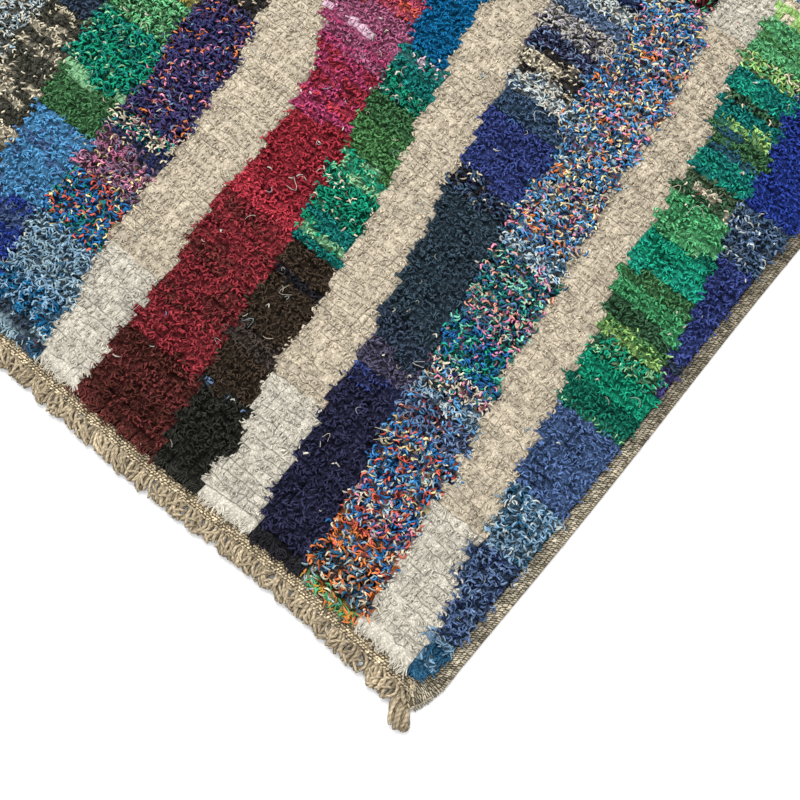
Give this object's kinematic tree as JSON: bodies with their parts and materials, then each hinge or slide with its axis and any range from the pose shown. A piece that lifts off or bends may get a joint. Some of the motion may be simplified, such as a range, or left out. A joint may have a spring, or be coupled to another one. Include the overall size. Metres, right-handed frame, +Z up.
{
  "type": "hand-knotted striped wool rug",
  "caption": "Flat pile rug with bold wandering stripes, overcast long edges, woven ends and a short looped fringe with corner tassels.",
  "frame": {"origin": "middle of the underside, on the floor", "axes": "+Z up out of the pile, +Y along the warps (the rug's length), +X along the wefts (its width)"},
  "size_m": [1.2, 1.8, 0.0113],
  "materials": {
    "pile": "clipped hand-knotted wool pile in many colours",
    "edge_yarn": "natural beige yarn, overcast",
    "warp_yarn": "natural beige yarn, flat woven and looped"
  },
  "bodies": {
    "root": {"rug_field": "pile", "selvedge_right": "edge_yarn", "selvedge_left": "edge_yarn", "fringe_front": "warp_yarn", "fringe_back": "warp_yarn"}
  },
  "joints": []
}
